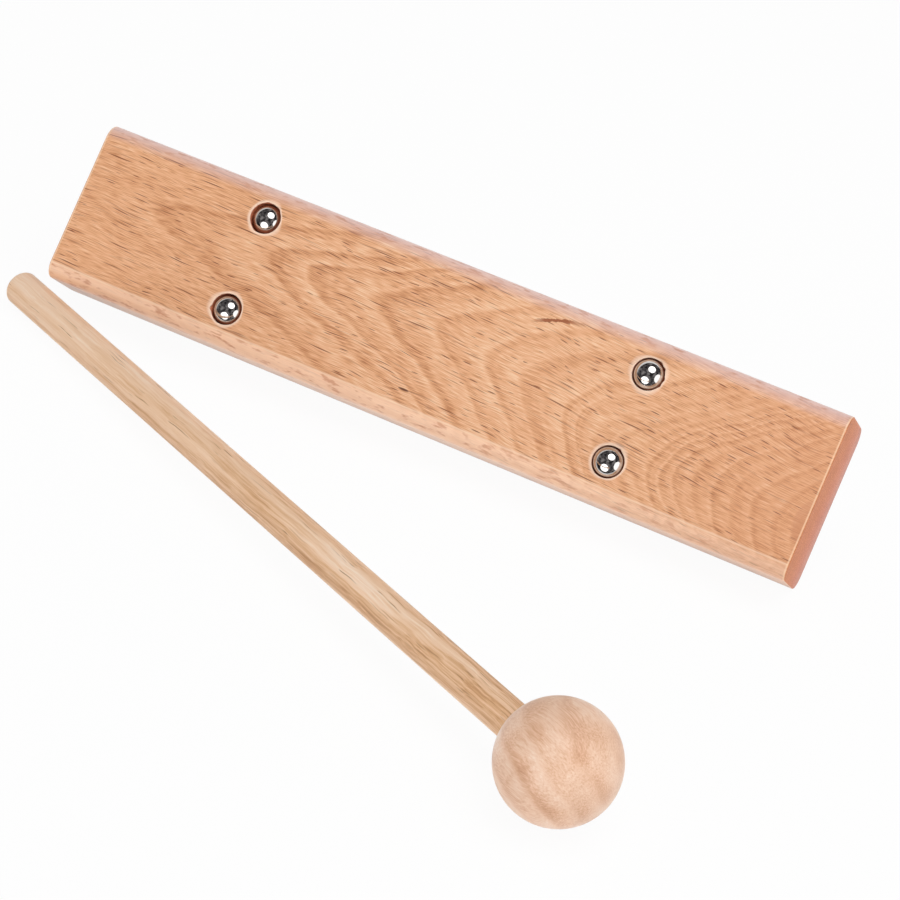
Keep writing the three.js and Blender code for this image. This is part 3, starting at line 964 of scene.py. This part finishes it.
def make_handle(material):
    """The dowel: a quarter circle for the tip's edge, then a straight run into the ball. Its radius wavers
    as the product of two waves round it."""
    radius = HANDLE_DIAMETER / 2
    reach = MALLET_LENGTH - HEAD_DIAMETER + SOCKET_DEPTH
    turn = np.radians(np.linspace(0, 90, 13))
    dome_radius = radius - HANDLE_DOME + HANDLE_DOME * np.sin(turn)
    dome = np.stack([HANDLE_DOME * (1 - np.cos(turn)), dome_radius], axis=-1)
    flat = np.stack([np.zeros(5), np.linspace(0, radius - HANDLE_DOME, 6)[:-1]], axis=-1)
    places = np.linspace(HANDLE_DOME, reach, HANDLE_ROWS)[1:]
    body = np.stack([places, np.full(len(places), radius)], axis=-1)
    end = np.array([(reach, 0)])
    profile = np.concatenate([flat, dome, body, end])

    def wobble(along, turn):
        fade = np.clip(along / (4 * MM), 0, 1)
        waves = np.sin(2 * turn + along / (31 * MM)) * np.cos(3 * turn - along / (17 * MM))
        return -HANDLE_WAVER * fade * (0.5 + 0.5 * waves)

    sheets = put(turned(profile, HANDLE_SIDES, wobble), MALLET_TIP, MALLET_AXES)
    make_piece("mallet_dowel", sheets, material, "mallet", "dowel_wood", "mallet_handle")


def make_head(material):
    """The ball: a circle turned about the dowel, with a blind socket whose mouth has a softened edge."""
    radius = HEAD_DIAMETER / 2
    socket = HANDLE_DIAMETER / 2 + SOCKET_CLEARANCE
    mouth = math.asin((socket + 0.25 * MM) / radius)
    turn = np.linspace(mouth, np.pi, 90)
    skin = radius * np.stack([-np.cos(turn), np.sin(turn)], axis=-1)
    skin[-1, 1] = 0
    floor = SOCKET_DEPTH + SOCKET_CLEARANCE - radius
    lip = -radius * math.cos(mouth) + SOCKET_LIP
    inner = np.array([(floor, 0), (floor, socket), (lip + 0.3 * MM, socket), (lip, socket + 0.05 * MM)])
    profile = np.concatenate([inner, skin]) + (HEAD_PLACE, 0)
    sheets = put(turned(profile, HEAD_SIDES), MALLET_TIP, MALLET_AXES)
    make_piece("mallet_ball", sheets, material, "mallet", "turned_wood", "mallet_head")


# Stage


def seen_by_eye(node):
    """One for camera, glossy and transmission rays, and none for the rays that light the object."""
    path = node("LightPath")
    seen = node("Math MAXIMUM", (path, "Is Camera Ray"), (path, "Is Glossy Ray"))
    return node("Math MAXIMUM", seen, (path, "Is Transmission Ray"))


def make_floor():
    """A pale table top that shows nearly white and keeps a faint shadow of the object. Mirrors and shadows
    miss its front part, so that the steel mirrors the low softboxes, as at a table's edge."""
    material, node = new_material("white_table")
    plain = node("BsdfDiffuse", linear("#f4f4f4"))
    glow = node("Emission", (1, 1, 1, 1), 1.0)
    seen = seen_by_eye(node)
    share = node("Math MULTIPLY", seen, TABLE_GLOW)
    mixed = node("MixShader", share, plain, glow)
    node("OutputMaterial", mixed)
    side, depth = TABLE_SIZE[0] / 2, TABLE_SIZE[1]
    for name, near, far in (("table_back", 0, depth), ("table_front", -depth, 0)):
        near, far = TABLE_SPLIT + near, TABLE_SPLIT + far
        corners = [(-side, near, 0), (side, near, 0), (side, far, 0), (-side, far, 0)]
        part = new_object(name, corners, [(0, 1, 2, 3)], material)
        part.visible_glossy = part.visible_shadow = name == "table_back"


def make_dark_room():
    """What the steel mirrors before the base: a dark studio with paler corners. It is a cap of a ball round
    a way near the underside's normal, with the white sweep past its border. The camera doesn't see it."""
    material, node = new_material("dark_studio")
    coords = node("TexCoord")
    patches = node("TexNoise", (coords, "Object"), named={"Scale": 0.5, "Detail": 3.0})
    tint = node("ValToRGB", patches, ramp=[(0.4, "#201e21"), (0.52, "#555254"), (0.66, "#989495")])
    dark = node("Emission", tint, 1.0)
    node("OutputMaterial", dark)
    middle = ROOM_WAY / np.linalg.norm(ROOM_WAY)
    level = np.cross((0, 1, 0), middle)
    axes = np.array([level, np.cross(middle, level), middle]) @ BASE_AXES
    turn = np.radians(np.linspace(0, ROOM_SPREAD, 16))[:, None]
    sweep = np.linspace(0, 2 * np.pi, 48, endpoint=False)[None]
    upright = np.cos(turn) * np.ones_like(sweep)
    cap = np.stack([np.sin(turn) * np.cos(sweep), np.sin(turn) * np.sin(sweep), upright], axis=-1)
    places, quads = grid(place(ROOM_REACH * cap, UNDERSIDE, axes), wrap=True)
    room = new_object("studio_room", places.tolist(), quads.tolist(), material)
    room.visible_camera = False
    room.visible_diffuse = False
    room.visible_shadow = False


def light_scene():
    """Three softboxes where the steel balls mirror them, and a faint fill from the room."""
    target = Vector((0, 0, 0.02))
    for name, way, distance, size, radiance in SOFTBOXES:
        lamp = bpy.data.lights.new(name, "AREA")
        lamp.shape = "ELLIPSE"
        lamp.size = lamp.size_y = size
        # A disc's power is its radiance times pi times its area
        lamp.energy = radiance * math.pi * math.pi / 4 * size * size
        holder = bpy.data.objects.new(name, lamp)
        holder.location = target + Vector(way).normalized() * distance
        holder.rotation_euler = Vector(way).to_track_quat("Z", "Y").to_euler()
        holder.visible_camera = False
        bpy.context.scene.collection.objects.link(holder)
    world = bpy.data.worlds.new("pale_room")
    bpy.context.scene.world = world
    world.use_nodes = True
    world.node_tree.nodes.clear()
    node = partial(add, world.node_tree)
    plain = node("Background", linear("#ffffff"), ROOM_LIGHT)
    glow = node("Background", linear("#ffffff"), 1.0)
    seen = seen_by_eye(node)
    mixed = node("MixShader", seen, plain, glow)
    node("OutputWorld", mixed)


def aim_camera():
    """The photograph's viewpoint: turned about Z by the azimuth, raised by the elevation, rolled about the
    view."""
    turn_cos, turn_sin = math.cos(CAMERA_AZIMUTH), math.sin(CAMERA_AZIMUTH)
    rise_cos, rise_sin = math.cos(CAMERA_ELEVATION), math.sin(CAMERA_ELEVATION)
    back = Vector((turn_sin * rise_cos, -turn_cos * rise_cos, rise_sin))
    level = Vector((turn_cos, turn_sin, 0))
    upright = back.cross(level)
    right = level * math.cos(CAMERA_ROLL) + upright * math.sin(CAMERA_ROLL)
    up = upright * math.cos(CAMERA_ROLL) - level * math.sin(CAMERA_ROLL)
    lens = bpy.data.cameras.new("photo_camera")
    lens.lens = CAMERA_LENS
    lens.sensor_width = CAMERA_SENSOR
    camera = bpy.data.objects.new("photo_camera", lens)
    spot = Vector((UNDERSIDE[0], UNDERSIDE[1], 0)) + CAMERA_OFFSET
    camera.matrix_world = Matrix.Translation(spot) @ Matrix((right, up, back)).transposed().to_4x4()
    bpy.context.scene.collection.objects.link(camera)
    bpy.context.scene.camera = camera


aim_camera()
holes = find_holes()
beech = make_beech(holes)
steel = make_steel()
# Moulded black rubber: matt charcoal with a fine mould grain
rubber = make_dark_soft(
    "moulded_black_rubber", 2500.0, 3.0, ("#1b1b1c", "#2b2b2d"), 0.3, 0.03 * MM, {"Roughness": 0.72},
)
# Braided polyester over a rubber core: black with a faint thread sheen
braid = make_dark_soft(
    "braided_elastic_cord", 4000.0, 2.0, ("#121213", "#2e2d30"), 0.4, 0.05 * MM,
    {"Roughness": 0.65, "Sheen Weight": 0.2},
)
make_base(holes, beech)
make_rod(holes, make_aluminium())
for side, pair in (("left", holes[:2]), ("right", holes[2:])):
    node_x = node_place(pair)
    make_saddle(side, node_x, rubber)
    make_cord(side, pair, node_x, braid)
for number, hole in enumerate(holes, start=1):
    make_ball(number, hole["ball"], steel)
make_handle(make_dowel_wood())
make_head(make_turned_wood())
make_floor()
make_dark_room()
light_scene()
bpy.context.scene.view_settings.view_transform = "Standard"
